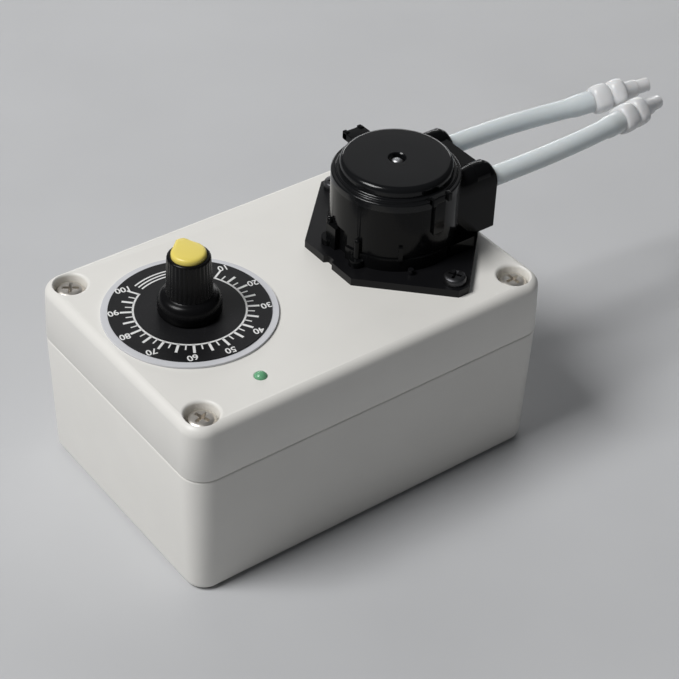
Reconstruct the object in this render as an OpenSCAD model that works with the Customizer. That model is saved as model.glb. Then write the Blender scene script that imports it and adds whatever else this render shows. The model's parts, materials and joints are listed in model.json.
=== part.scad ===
// Peristaltic pump: speed-dial control box with a friction-planetary
// roller head. Millimetres, +Z up, origin at the bottom centre of the box,
// +X towards the pump head end.

/* [Enclosure] */
// Length of the box over the lid, along X
box_l = 100.5; // [98:0.5:106]
// Width of the box over the lid, along Y
box_w = 68; // [67:0.5:72]
// Height from the bottom to the top of the lid
box_h = 49; // [48:0.5:54]
// Height of the joint between base and lid
split_z = 34.5; // [32:0.5:36]
// Radius of the upright corners of the lid
corner_r = 6; // [5.5:0.25:6.5]
// Rounding along the top edge of the lid
top_round = 2.5; // [2:0.25:3]
// Wall thickness of base and lid
wall = 2.5; // [2.4:0.1:3]
// How far the base sits inside the lid's outline, per side
base_inset = 0.25; // [0.1:0.05:0.4]
// Lid screw centres, in from the lid's outline
screw_inset = 6.3; // [6:0.1:6.6]

/* [Speed dial] */
// Dial centre along X
dial_x = -26.9; // [-30:0.1:-25]
// Dial centre along Y
dial_y = 3.1; // [0:0.1:4]
// Diameter of the clear backing ring
ring_d = 40.8; // [38:0.1:42]
// Diameter of the printed black face
face_d = 37.5; // [34:0.1:38]
// Diameter of the knob skirt
skirt_d = 14.9; // [14.5:0.1:16]
// Height of the knob's top above the lid
knob_h = 17.5; // [17:0.1:19]
// Diameter of the potentiometer shaft
pot_shaft_d = 6; // [5.8:0.1:6.2]

/* [Pump head] */
// Pump axis along X
head_x = 29; // [28.5:0.1:30]
// Pump axis along Y
head_y = -0.2; // [-1:0.1:1]
// Outside diameter of the pump body
body_d = 30.9; // [30.5:0.1:32]
// Diameter of the track the tube is pressed against
track_d = 26.6; // [26.4:0.1:26.8]
// Height of the tube's centre above the lid
tube_h = 14; // [13.8:0.1:14.2]
// Height of the head's top above the lid
head_h = 23.5; // [23.4:0.1:24.5]
// Thickness of the mount plate
plate_t = 2; // [1.8:0.1:2.2]
// Distance between the two mount screws
mount_pitch = 47.1; // [46.5:0.1:47.6]

/* [Drive] */
// Diameter of a roller
roller_d = 8; // [7.8:0.1:8]
// Distance of the roller pins from the pump axis
roller_orbit = 7.2; // [7.2:0.05:7.25]
// Diameter of the friction bush on the motor shaft
bush_d = 6; // [5.6:0.1:6]
// Diameter of the motor shaft
shaft_d = 2.3; // [2:0.1:2.3]
// Diameter of the motor can
motor_d = 27.6; // [26:0.1:28]
// Length of the motor
motor_l = 37.9; // [36:0.1:38.5]

/* [Tubing] */
// Outside diameter of the tube
tube_od = 5; // [4.8:0.1:5]
// Inside diameter of the tube
tube_id = 3; // [2.5:0.1:3.2]
// Distance of each tube from the head's middle plane
tube_y = 8.2; // [8.1:0.05:8.4]
// Far face of the tube ports, from the pump axis
port_x = 22; // [21.6:0.1:22.4]

/* [Hidden] */
$fn = 48;
eps = 0.01;
lid_under = box_h - wall;
scr_x = box_l / 2 - screw_inset;
scr_y = box_w / 2 - screw_inset;
base_l = box_l - 2 * base_inset;
base_w = box_w - 2 * base_inset;
base_r = corner_r - base_inset;
base_round = 2;
seal_in = 0.65;
seal_w = 1.2;
seal_t = 1;
boss_d = 9;
cbore_d = 7.8;
cbore_t = 3.2;
lid_hole_d = 4.4;
pilot_d = 3.2;
lid_head_d = 6.4;
lid_head_t = 2.1;

ring_t = 0.6;
face_t = 0.3;
face_z = box_h + ring_t + face_t;
bush_hole_d = 7.2;
knob_z = face_z + 0.4;
knob_top = box_h + knob_h;
cap_t = 1.8;
flute_n = 18;
pot_d = 17;
pot_l = 9.2;
pot_z = lid_under - pot_l;
pot_nose_d = 7;
pot_nose_top = face_z + 4.1;
run_gap = 0.08;

led_x = -26.4;
led_y = -24.5;
led_d = 3;

head_z = box_h;
plate_top = plate_t;
flange_d = 31.8;
flange_t = 3.4;
floor_h = 5.6;
floor_t = 1.9;
deck_h = 18.3;
cap_ring_h = 20.3;
cap_step_d = 28.8;
cap_step_h = 20.8;
cap_d = 27;
cap_in_d = 25.2;
plate_v = 28.6;
plate_tip = 27.1;
plate_flat = 19.4;
band_h = 7.3;
band_gap = 0.2;
band_r = roller_orbit + roller_d / 2 + band_gap;
band_a = 36;
stub_x = 10;
roller_l = 7.8;
disc_d = 21.2;
disc_t = 1.4;
disc_gap = 0.35;
pin_d = 2;
shaft_top = head_h - 0.8;
motor_top = box_h;
motor_z = motor_top - motor_l;
motor_r = motor_d / 2;
endcap_t = 3;
can_wall = 0.8;

pcb_l = 50;
pcb_w = 40;
pcb_t = 1.6;
pcb_z = 7.5;
pcb_x = -17;
pcb_hole_x = 22;
pcb_hole_y = 17;
jack_x = -20;
jack_z = 17;

// Routes of the two free tubes and where each one's connector begins.
inlet_route = [[51, -8.4, 63], [60, -8.9, 63.3], [70, -9.4, 63.7], [80, -9.5, 64.1],
               [87.4, -9.1, 64.2], [93.4, -8.2, 63.9]];
outlet_route = [[51, 8, 63], [60, 7.9, 62.8], [70, 7.4, 62.7], [80, 6.3, 62.6],
                [88.4, 4.5, 63], [94.4, 3, 63.7]];

// ---------- shared shapes ----------

module rsquare(l, w, r) {
    square([l - 2 * r, w], center = true);
    square([l, w - 2 * r], center = true);
    for (sx = [-1, 1])
        for (sy = [-1, 1])
            translate([sx * (l / 2 - r), sy * (w / 2 - r)])
                circle(r = r);
}

// Upright prism whose top edge is rounded by e.
module round_top(l, w, r, e, h) {
    linear_extrude(height = h - e)
        rsquare(l, w, r);
    translate([0, 0, h - e]) {
        linear_extrude(height = e)
            rsquare(l - 2 * e, w - 2 * e, r - e);
        for (s = [-1, 1]) {
            translate([0, s * (w / 2 - e), 0])
                rotate([0, 90, 0])
                    cylinder(r = e, h = l - 2 * r, center = true);
            translate([s * (l / 2 - e), 0, 0])
                rotate([90, 0, 0])
                    cylinder(r = e, h = w - 2 * r, center = true);
        }
        for (sx = [-1, 1])
            for (sy = [-1, 1])
                translate([sx * (l / 2 - r), sy * (w / 2 - r), 0])
                    rotate_extrude()
                        intersection() {
                            translate([r - e, 0])
                                circle(r = e);
                            square([r, e]);
                        }
    }
}

module at_corners(x, y) {
    for (sx = [-1, 1])
        for (sy = [-1, 1])
            translate([sx * x, sy * y, 0])
                children();
}

module tube_z(ro, ri, z0, z1) {
    translate([0, 0, z0])
        difference() {
            cylinder(r = ro, h = z1 - z0);
            translate([0, 0, -1])
                cylinder(r = ri, h = z1 - z0 + 2);
        }
}

module rod_z(r, z0, z1) {
    translate([0, 0, z0])
        cylinder(r = r, h = z1 - z0);
}

// Pan-head cross-recess screw, head resting on z = 0, shank pointing down.
module cross_screw(head_d, head_t, shank_d, shank_l) {
    difference() {
        union() {
            cylinder(r = head_d / 2, h = head_t * 0.55);
            translate([0, 0, head_t * 0.55])
                cylinder(r1 = head_d / 2, r2 = head_d * 0.36, h = head_t * 0.45);
        }
        for (a = [0, 90])
            rotate([0, 0, a])
                translate([-head_d * 0.27, -head_d * 0.07, head_t * 0.4])
                    cube([head_d * 0.54, head_d * 0.14, head_t]);
    }
    translate([0, 0, -shank_l])
        cylinder(r = shank_d / 2, h = shank_l);
}

module hex_nut(af, t, bore_d) {
    difference() {
        cylinder(r = af / sqrt(3), h = t, $fn = 6);
        translate([0, 0, -1])
            cylinder(r = bore_d / 2, h = t + 2);
    }
}

module at_dial() {
    translate([dial_x, dial_y, 0])
        children();
}

module at_head() {
    translate([head_x, head_y, head_z])
        children();
}

module at_motor() {
    translate([head_x, head_y, 0])
        children();
}

// ---------- enclosure ----------

module enclosure_base() {
    color([0.86, 0.85, 0.81])
        difference() {
            union() {
                difference() {
                    mirror([0, 0, 1])
                        translate([0, 0, -split_z])
                            round_top(base_l, base_w, base_r, base_round, split_z);
                    translate([0, 0, wall])
                        linear_extrude(height = split_z)
                            rsquare(base_l - 2 * wall, base_w - 2 * wall, base_r - wall);
                }
                at_corners(scr_x, scr_y)
                    rod_z(boss_d / 2, 1, split_z);
                translate([pcb_x, 0, 0])
                    at_corners(pcb_hole_x, pcb_hole_y)
                        rod_z(3, 1, pcb_z);
            }
            translate([0, 0, split_z - seal_t])
                difference() {
                    seal_outline(seal_in, seal_t + 1);
                    translate([0, 0, -1])
                        seal_outline(seal_in + seal_w, seal_t + 3);
                }
            at_corners(scr_x, scr_y)
                rod_z(pilot_d / 2, split_z - 14, split_z + 1);
            translate([pcb_x, 0, 0])
                at_corners(pcb_hole_x, pcb_hole_y)
                    rod_z(1, 3.4, pcb_z + 1);
            translate([jack_x, base_w / 2 + 1, jack_z])
                rotate([90, 0, 0])
                    cylinder(r = 5.6, h = wall + 2);
        }
}

module seal_outline(inset, h) {
    linear_extrude(height = h)
        rsquare(base_l - 2 * inset, base_w - 2 * inset, base_r - inset);
}

module lid_seal() {
    color([0.3, 0.3, 0.3])
        translate([0, 0, split_z - seal_t])
            difference() {
                seal_outline(seal_in, seal_t);
                translate([0, 0, -1])
                    seal_outline(seal_in + seal_w, seal_t + 2);
            }
}

module enclosure_lid() {
    color([0.9, 0.89, 0.86])
        difference() {
            union() {
                difference() {
                    translate([0, 0, split_z])
                        round_top(box_l, box_w, corner_r, top_round, box_h - split_z);
                    translate([0, 0, split_z - 1])
                        linear_extrude(height = lid_under - split_z + 1)
                            rsquare(box_l - 2 * wall, box_w - 2 * wall, corner_r - wall);
                }
                at_corners(scr_x, scr_y)
                    rod_z(boss_d / 2, split_z, lid_under + 1);
            }
            at_corners(scr_x, scr_y) {
                rod_z(lid_hole_d / 2, split_z - 1, box_h + 1);
                rod_z(cbore_d / 2, box_h - cbore_t, box_h + 1);
            }
            at_motor() {
                rod_z(motor_r + 0.5, lid_under - 1, box_h + 1);
                for (s = [-1, 1])
                    translate([0, s * mount_pitch / 2, 0])
                        rod_z(1.7, lid_under - 1, box_h + 1);
            }
            at_dial()
                rod_z(bush_hole_d / 2, lid_under - 1, box_h + 1);
            translate([led_x, led_y, 0])
                rod_z(led_d / 2 + 0.02, lid_under - 1, box_h + 1);
        }
}

module lid_screws() {
    color([0.75, 0.74, 0.7])
        at_corners(scr_x, scr_y)
            translate([0, 0, box_h - cbore_t]) {
                cross_screw(lid_head_d, lid_head_t, 3.9, box_h - cbore_t - split_z);
                rod_z(pilot_d / 2, split_z - box_h + cbore_t - 13, 0);
            }
}

// ---------- speed control ----------

module dial_backing() {
    color([0.75, 0.78, 0.8, 0.6])
        at_dial()
            tube_z(ring_d / 2, bush_hole_d / 2, box_h, box_h + ring_t);
}

module dial_face() {
    color([0.03, 0.03, 0.03])
        at_dial()
            tube_z(face_d / 2, bush_hole_d / 2, box_h + ring_t, face_z);
}

module knob_body() {
    top = knob_top - cap_t;
    neck_z = knob_z + 3.9;
    neck_r = 5.45;
    top_r = 5;
    lean = atan((neck_r - top_r) / (top - neck_z));
    color([0.02, 0.02, 0.02])
        at_dial()
            difference() {
                union() {
                    rotate_extrude()
                        polygon([[0, knob_z], [skirt_d / 2, knob_z], [skirt_d / 2, knob_z + 1.3],
                                 [skirt_d / 2 - 0.25, knob_z + 2.2], [skirt_d / 2 - 0.8, knob_z + 3],
                                 [neck_r + 0.5, knob_z + 3.6], [neck_r, neck_z], [0, neck_z]]);
                    translate([0, 0, neck_z])
                        cylinder(r1 = neck_r, r2 = top_r, h = top - neck_z);
                }
                rod_z(6.2, knob_z - 1, knob_z + 2.5);
                rod_z(3.9, knob_z, knob_z + 4.4);
                rod_z(pot_shaft_d / 2, knob_z, top - 2);
                for (i = [0:flute_n - 1])
                    rotate([0, 0, i * 360 / flute_n])
                        translate([neck_r + 0.25, 0, neck_z + 0.3])
                            rotate([0, -lean, 0])
                                cylinder(r = 0.5, h = top, $fn = 24);
            }
}

module knob_cap() {
    color([0.95, 0.8, 0.1])
        at_dial()
            translate([0, 0, knob_top - cap_t]) {
                cylinder(r1 = 4.1, r2 = 3.9, h = cap_t);
                rotate([0, 0, 78])
                    linear_extrude(height = cap_t - 0.3)
                        polygon([[0, -3.6], [2.6, -2.6], [5.4, -0.5], [5.4, 0.5],
                                 [2.6, 2.6], [0, 3.6]]);
            }
}

module pot_shaft() {
    color([0.8, 0.8, 0.78])
        at_dial()
            rod_z(pot_shaft_d / 2, pot_z + 1.4, knob_top - cap_t - 2);
}

module pot_wiper() {
    color([0.85, 0.65, 0.3])
        at_dial()
            translate([0, 0, pot_z + 1.8])
                difference() {
                    union() {
                        cylinder(r = 4, h = 1.2);
                        translate([-1.5, 0, 0])
                            cube([3, 6.4, 1.2]);
                    }
                    translate([0, 0, -1])
                        cylinder(r = pot_shaft_d / 2, h = 4);
                }
}

module pot_body() {
    color([0.6, 0.62, 0.62])
        at_dial()
            difference() {
                union() {
                    rod_z(pot_d / 2, pot_z, lid_under);
                    rod_z(pot_nose_d / 2, lid_under - 1, pot_nose_top);
                }
                rod_z(7.3, pot_z + 1, lid_under - 2);
                rod_z(pot_shaft_d / 2 + run_gap, pot_z + 2, pot_nose_top + 1);
            }
}

module pot_track() {
    color([0.15, 0.12, 0.1])
        at_dial()
            tube_z(6.8, 4.2, pot_z + 1, pot_z + 1.5);
}

module pot_terminals() {
    color([0.85, 0.85, 0.8])
        at_dial()
            for (i = [-1:1])
                translate([i * 5 - 0.6, -12, pot_z - 0.6])
                    cube([1.2, 8, 0.6]);
}

module pot_washer() {
    color([0.7, 0.7, 0.7])
        at_dial()
            tube_z(5.6, pot_nose_d / 2, face_z, face_z + 0.5);
}

module pot_nut() {
    color([0.75, 0.75, 0.7])
        at_dial()
            translate([0, 0, face_z + 0.5])
                hex_nut(9.6, 1.8, pot_nose_d);
}

module led_lens() {
    color([0.1, 0.6, 0.25])
        translate([led_x, led_y, 0]) {
            rod_z(1.9, lid_under - 1, lid_under);
            rod_z(led_d / 2, lid_under - 0.5, box_h);
            translate([0, 0, box_h])
                difference() {
                    translate([0, 0, -0.8])
                        sphere(r = 1.7);
                    translate([0, 0, -3])
                        cube([6, 6, 6], center = true);
                }
        }
}

module led_leads() {
    color([0.8, 0.8, 0.8])
        for (s = [-1, 1])
            translate([led_x + s * 1.27, led_y, lid_under - 5])
                cube([0.5, 0.5, 8], center = true);
}

// ---------- electronics ----------

module control_pcb() {
    color([0.1, 0.35, 0.2])
        translate([pcb_x, 0, pcb_z])
            difference() {
                translate([-pcb_l / 2, -pcb_w / 2, 0])
                    cube([pcb_l, pcb_w, pcb_t]);
                at_corners(pcb_hole_x, pcb_hole_y)
                    rod_z(1.3, -1, pcb_t + 1);
            }
}

module pcb_screws() {
    color([0.75, 0.75, 0.72])
        translate([pcb_x, 0, pcb_z + pcb_t])
            at_corners(pcb_hole_x, pcb_hole_y)
                cross_screw(4.4, 1.6, 2, 5);
}

module pcb_capacitor() {
    color([0.1, 0.12, 0.3])
        translate([-31, -9, pcb_z + pcb_t]) {
            cylinder(r = 4, h = 11.5);
            translate([0, 0, 11.5])
                cylinder(r1 = 4, r2 = 3.6, h = 0.5);
        }
}

module pcb_transistor() {
    color([0.12, 0.12, 0.12])
        translate([-16, 12, pcb_z + pcb_t]) {
            translate([-5, -2.2, 4])
                cube([10, 4.4, 9]);
            difference() {
                translate([-5, -2.2, 13])
                    cube([10, 1.3, 6]);
                translate([0, 0, 16.2])
                    rotate([90, 0, 0])
                        cylinder(r = 1.8, h = 6, center = true);
            }
            for (i = [-1:1])
                translate([i * 2.54 - 0.4, -0.3, 0])
                    cube([0.8, 0.6, 4]);
        }
}

module pcb_chip() {
    color([0.1, 0.1, 0.1])
        translate([-18, -6, pcb_z + pcb_t]) {
            translate([-4.7, -3.2, 0.6])
                cube([9.4, 6.4, 3.3]);
            for (i = [0:3])
                for (s = [-1, 1])
                    translate([i * 2.54 - 4.06, s * 3.45 - 0.25, 0])
                        cube([0.5, 0.5, 2.2]);
        }
}

module pcb_terminals() {
    color([0.1, 0.4, 0.25])
        translate([2, 0, pcb_z + pcb_t])
            difference() {
                translate([-4, -10.2, 0])
                    cube([8, 20.4, 10]);
                for (i = [0:3])
                    translate([0, i * 5.08 - 7.62, 0]) {
                        rod_z(1.6, 7, 11);
                        translate([1.5, -1.6, 1.5])
                            cube([4, 3.2, 3.4]);
                    }
            }
}

module along_jack() {
    translate([jack_x, base_w / 2, jack_z])
        rotate([90, 0, 0])
            children();
}

module jack_body() {
    color([0.05, 0.05, 0.05])
        along_jack()
            difference() {
                union() {
                    translate([0, 0, -2])
                        cylinder(r = 7, h = 2);
                    cylinder(r = 5.5, h = 12);
                }
                translate([0, 0, -3])
                    cylinder(r = 3.1, h = 13);
            }
}

module jack_nut() {
    color([0.75, 0.75, 0.72])
        along_jack()
            translate([0, 0, wall])
                hex_nut(14, 2.2, 11);
}

module jack_contacts() {
    color([0.85, 0.83, 0.75])
        along_jack() {
            translate([0, 0, -1])
                cylinder(r = 1, h = 11);
            for (s = [-1, 1])
                translate([s * 2.5 - 1, -0.3, 12])
                    cube([2, 0.6, 5]);
        }
}

// ---------- motor ----------

module motor_can() {
    color([0.7, 0.71, 0.72])
        at_motor()
            difference() {
                rod_z(motor_r, motor_z + endcap_t, motor_top);
                rod_z(motor_r - can_wall, motor_z, motor_top - 1);
                rod_z(3, motor_z, motor_top + 1);
                for (s = [-1, 1])
                    translate([s * 8, 0, 0])
                        rod_z(1.25, motor_top - 2, motor_top + 1);
            }
}

module motor_magnets() {
    color([0.25, 0.25, 0.26])
        at_motor()
            for (a = [20, 200])
                rotate([0, 0, a])
                    translate([0, 0, motor_z + 8])
                        rotate_extrude(angle = 140)
                            translate([10.2, 0])
                                square([motor_r - can_wall - 10.2, 22]);
}

module motor_end_cap() {
    color([0.1, 0.1, 0.1])
        at_motor()
            difference() {
                union() {
                    rod_z(motor_r, motor_z, motor_z + endcap_t);
                    rod_z(motor_r - can_wall, motor_z + 1, motor_z + endcap_t + 1.5);
                }
                rod_z(11.5, motor_z + endcap_t - 0.5, motor_z + endcap_t + 2);
                rod_z(3, motor_z + 0.6, motor_z + endcap_t);
            }
}

module motor_bearings() {
    color([0.8, 0.6, 0.3])
        at_motor() {
            tube_z(3, shaft_d / 2 + run_gap, motor_z + 0.6, motor_z + endcap_t - 0.5);
            tube_z(3, shaft_d / 2 + run_gap, motor_top - 2.5, motor_top + 1.2);
        }
}

module motor_brushes() {
    color([0.2, 0.2, 0.2])
        at_motor()
            for (s = [-1, 1])
                translate([s * 6.4 - 2.7, -1.2, motor_z + endcap_t - 0.5])
                    cube([5.4, 2.4, 3]);
}

module motor_terminals() {
    color([0.85, 0.75, 0.5])
        at_motor()
            for (s = [-1, 1])
                translate([s * 8 - 0.3, -1.5, motor_z - 5])
                    cube([0.6, 3, 5]);
}

module motor_shaft() {
    color([0.8, 0.8, 0.8])
        at_motor()
            rod_z(shaft_d / 2, motor_z + 0.9, head_z + shaft_top);
}

module motor_armature() {
    color([0.6, 0.35, 0.2])
        at_motor()
            difference() {
                rod_z(9.7, motor_z + 9, motor_z + 29);
                for (i = [0:2])
                    rotate([0, 0, i * 120])
                        translate([7, -0.9, motor_z + 8])
                            cube([4, 1.8, 22]);
                rod_z(shaft_d / 2, motor_z + 8, motor_z + 30);
            }
}

module motor_commutator() {
    color([0.8, 0.5, 0.3])
        at_motor()
            tube_z(3.4, shaft_d / 2, motor_z + 3.2, motor_z + 9);
}

module friction_bush() {
    color([0.8, 0.8, 0.78])
        at_head()
            tube_z(bush_d / 2, shaft_d / 2, tube_h - roller_l / 2, tube_h + roller_l / 2);
}

module motor_screws() {
    color([0.75, 0.75, 0.72])
        at_head()
            for (s = [-1, 1])
                translate([s * 8, 0, plate_top])
                    cross_screw(4.6, 1.7, 2.5, plate_t + 3.5);
}

// ---------- pump head ----------

module plate_outline() {
    c = plate_v - plate_tip;
    f = plate_v - plate_flat;
    polygon([[-plate_flat, f], [-c, plate_tip], [c, plate_tip], [plate_flat, f],
             [plate_flat, -f], [c, -plate_tip], [-c, -plate_tip], [-plate_flat, -f],
             [-plate_flat, -1.6], [1 - plate_flat, -1.1], [1 - plate_flat, 1.1],
             [-plate_flat, 1.6]]);
}

module mount_plate() {
    color([0.03, 0.03, 0.03])
        at_head()
            difference() {
                union() {
                    linear_extrude(height = plate_t)
                        plate_outline();
                    for (s = [-1, 1])
                        translate([-6.8, s * 15.6, plate_t - eps])
                            cylinder(r = 0.7, h = 1.4);
                }
                rod_z(3.3, -1, plate_t + 1);
                for (s = [-1, 1]) {
                    translate([s * 8, 0, 0])
                        rod_z(1.5, -1, plate_t + 1);
                    translate([0, s * mount_pitch / 2, 0])
                        rod_z(1.7, -1, plate_t + 1);
                }
            }
}

module mount_screws() {
    color([0.35, 0.35, 0.36])
        at_head()
            for (s = [-1, 1])
                translate([0, s * mount_pitch / 2, plate_top])
                    cross_screw(5.6, 2, 3, plate_t + wall + 3.4);
}

module mount_nuts() {
    color([0.75, 0.75, 0.72])
        at_head()
            for (s = [-1, 1])
                translate([0, s * mount_pitch / 2, -wall - 2.4])
                    hex_nut(5.5, 2.4, 3);
}

// Outside of the port block, from the body out to the tube openings.
module port_block() {
    side = tube_y + 3.2;
    translate([0, -side, plate_top])
        cube([port_x, 2 * side, tube_h - plate_top]);
    translate([0, -tube_y, 12])
        cube([port_x - 2, 2 * tube_y, deck_h - 12]);
    for (s = [-1, 1])
        translate([0, s * tube_y, tube_h])
            rotate([0, 90, 0])
                cylinder(r = 3.2, h = port_x);
    translate([0, 0, plate_top])
        linear_extrude(height = deck_h - plate_top)
            polygon([[0, 13.5], [8.4, 11.4], [port_x - 3.4, 7],
                     [port_x - 3.4, -7], [8.4, -11.4], [0, -13.5]]);
    for (s = [-1, 1])
        translate([port_x - 6.1, s * tube_y, tube_h + 2.9])
            rotate([0, 90, 0])
                cylinder(r = 2.9, h = 4);
}

// Locating posts and the finger panel on the body's box side
module body_lugs() {
    for (s = [-1, 1])
        translate([-15, s * 5.4, plate_top]) {
            cylinder(r = 1.9, h = 1.9);
            cylinder(r = 0.8, h = 6.5);
            translate([0, 0, 6.5])
                sphere(r = 0.8);
        }
    translate([-16, 1.9, plate_top])
        cube([1.5, 3.5, 6]);
}

module pump_body() {
    color([0.02, 0.02, 0.02])
        at_head()
            difference() {
                union() {
                    rod_z(flange_d / 2, plate_top, plate_top + flange_t);
                    rod_z(body_d / 2, plate_top + flange_t - 1, deck_h);
                    port_block();
                    body_lugs();
                    for (s = [-1, 1])
                        translate([5, s > 0 ? 9 : -15.6, plate_top])
                            cube([7.3, 6.6, 3.2]);
                    rotate([0, 0, -122])
                        translate([body_d / 2 - 0.4, -0.5, plate_top + flange_t - 0.5])
                            cube([1.1, 1, 4]);
                }
                rod_z(track_d / 2, floor_h + floor_t, deck_h + 1);
                rod_z(12.6, plate_top - 1, floor_h);
                rod_z(3.6, 0, floor_h + floor_t + 1);
                translate([-18, -1.9, plate_top - 1])
                    cube([3.4, 3.8, 8]);
                for (s = [-1, 1])
                    translate([0, s * tube_y, tube_h])
                        rotate([0, 90, 0])
                            cylinder(r = tube_od / 2, h = port_x + 1);
            }
}

module pump_cap() {
    color([0.03, 0.03, 0.03])
        at_head()
            difference() {
                union() {
                    rod_z(body_d / 2, deck_h, cap_ring_h);
                    rod_z(cap_step_d / 2, cap_ring_h - 0.5, cap_step_h);
                    rod_z(cap_d / 2, cap_step_h - 0.5, head_h - 0.9);
                    translate([0, 0, head_h - 0.9])
                        cylinder(r1 = cap_d / 2, r2 = cap_d / 2 - 0.9, h = 0.9);
                    cap_clip(18.3, 18.1, 4.5, 2.1);
                    mirror([0, 1, 0])
                        cap_clip(16.9, 16.2, 3.1, 1.9);
                }
                rod_z(cap_in_d / 2, deck_h - 1, head_h - 1.6);
                rod_z(2.05, deck_h, head_h + 1);
            }
}

// Snap clip of the cap: a tab with two horns, and the leg that holds the body.
module cap_clip(reach, face, far, h) {
    translate([-2.2, 14, 19.6])
        cube([far + 2.2, face - 14, h]);
    for (x = [-2.2, 2.1])
        translate([x, reach - 1.5, 19.6])
            cube([1, 1.5, 2.4]);
    translate([-1.1, 15.55, 11])
        cube([3, 0.65, 9]);
}

// ---------- rollers ----------

module at_pins() {
    for (i = [0:2])
        rotate([0, 0, 60 + i * 120])
            translate([roller_orbit, 0, 0])
                children();
}

module carrier_disc(z0) {
    difference() {
        rod_z(disc_d / 2, z0, z0 + disc_t);
        rod_z(shaft_d / 2 + 0.35, z0 - 1, z0 + disc_t + 1);
        at_pins()
            rod_z(pin_d / 2, z0 - 1, z0 + disc_t + 1);
    }
}

module carrier_lower() {
    color([0.85, 0.85, 0.82])
        at_head()
            carrier_disc(tube_h - roller_l / 2 - disc_gap - disc_t);
}

module carrier_upper() {
    color([0.85, 0.85, 0.82])
        at_head()
            carrier_disc(tube_h + roller_l / 2 + disc_gap);
}

module roller_pins() {
    z0 = tube_h - roller_l / 2 - disc_gap - disc_t;
    color([0.8, 0.8, 0.8])
        at_head()
            at_pins()
                rod_z(pin_d / 2, z0, 2 * tube_h - z0);
}

module roller(i) {
    color([0.9, 0.9, 0.88])
        at_head()
            rotate([0, 0, 60 + i * 120])
                translate([roller_orbit, 0, 0])
                    tube_z(roller_d / 2, pin_d / 2 + run_gap, tube_h - roller_l / 2,
                           tube_h + roller_l / 2);
}

module roller_1() {
    roller(0);
}

module roller_2() {
    roller(1);
}

module roller_3() {
    roller(2);
}

// ---------- tubing ----------

module pump_tube() {
    color([0.8, 0.87, 0.93])
        at_head() {
            rotate([0, 0, band_a])
                translate([0, 0, tube_h - band_h / 2])
                    rotate_extrude(angle = 360 - 2 * band_a)
                        translate([band_r, 0])
                            square([track_d / 2 - band_r, band_h]);
            for (s = [-1, 1])
                translate([stub_x, s * tube_y, tube_h])
                    rotate([0, 90, 0])
                        cylinder(r = tube_od / 2, h = port_x - stub_x);
        }
}

function unit(v) = v / norm(v);
function step_dir(p, i) = unit(p[min(i + 1, len(p) - 1)] - p[max(i - 1, 0)]);
function ring(c, d, r, n) =
    let (side = unit(cross([0, 0, 1], d)), up = cross(d, side))
    [for (k = [0:n - 1]) c + r * (cos(360 * k / n) * side + sin(360 * k / n) * up)];

module swept_tube(route, r, n) {
    m = len(route);
    pts = [for (i = [0:m - 1]) each ring(route[i], step_dir(route, i), r, n)];
    walls = [for (i = [0:m - 2]) for (k = [0:n - 1])
        [i * n + k, (i + 1) * n + k, (i + 1) * n + (k + 1) % n, i * n + (k + 1) % n]];
    start = [for (k = [0:n - 1]) k];
    finish = [for (k = [n - 1:-1:0]) (m - 1) * n + k];
    polyhedron(points = pts, faces = concat(walls, [start, finish]));
}

module inlet_tube() {
    color([0.8, 0.87, 0.93])
        swept_tube(inlet_route, tube_od / 2, 12);
}

module outlet_tube() {
    color([0.8, 0.87, 0.93])
        swept_tube(outlet_route, tube_od / 2, 12);
}

// Barbed tube connector, its shoulder at z = 0, nozzle pointing up.
module connector() {
    rotate_extrude()
        polygon([[1, -6], [1.6, -6], [1.9, -5], [1.6, -4.4], [1.6, 0], [2.9, 0],
                 [3.7, 0.5], [4.1, 1.4], [4.1, 3.6], [3.7, 4.5], [3.2, 5], [3.7, 5.5],
                 [4.1, 6.2], [4.1, 8], [3.7, 8.8], [2.4, 9.3], [2.2, 12.6], [1.8, 13],
                 [1.8, 15.9], [1.6, 16.2], [1, 16.2]]);
}

module on_route_end(route) {
    n = len(route) - 1;
    d = unit(route[n] - route[n - 1]);
    translate(route[n])
        rotate([0, acos(d[2]), atan2(d[1], d[0])])
            children();
}

module inlet_connector() {
    color([0.9, 0.92, 0.94])
        on_route_end(inlet_route)
            connector();
}

module outlet_connector() {
    color([0.9, 0.92, 0.94])
        on_route_end(outlet_route)
            connector();
}

enclosure_base();
enclosure_lid();
lid_seal();
lid_screws();
dial_backing();
dial_face();
knob_body();
knob_cap();
pot_shaft();
pot_wiper();
pot_body();
pot_track();
pot_terminals();
pot_washer();
pot_nut();
led_lens();
led_leads();
control_pcb();
pcb_screws();
pcb_capacitor();
pcb_transistor();
pcb_chip();
pcb_terminals();
jack_body();
jack_nut();
jack_contacts();
motor_can();
motor_magnets();
motor_end_cap();
motor_bearings();
motor_brushes();
motor_terminals();
motor_shaft();
motor_armature();
motor_commutator();
friction_bush();
motor_screws();
mount_plate();
mount_screws();
mount_nuts();
pump_body();
pump_cap();
carrier_lower();
carrier_upper();
roller_pins();
roller_1();
roller_2();
roller_3();
pump_tube();
inlet_tube();
outlet_tube();
inlet_connector();
outlet_connector();
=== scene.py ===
import json
import math

import bmesh
import bpy
from mathutils import Matrix, Vector


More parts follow.
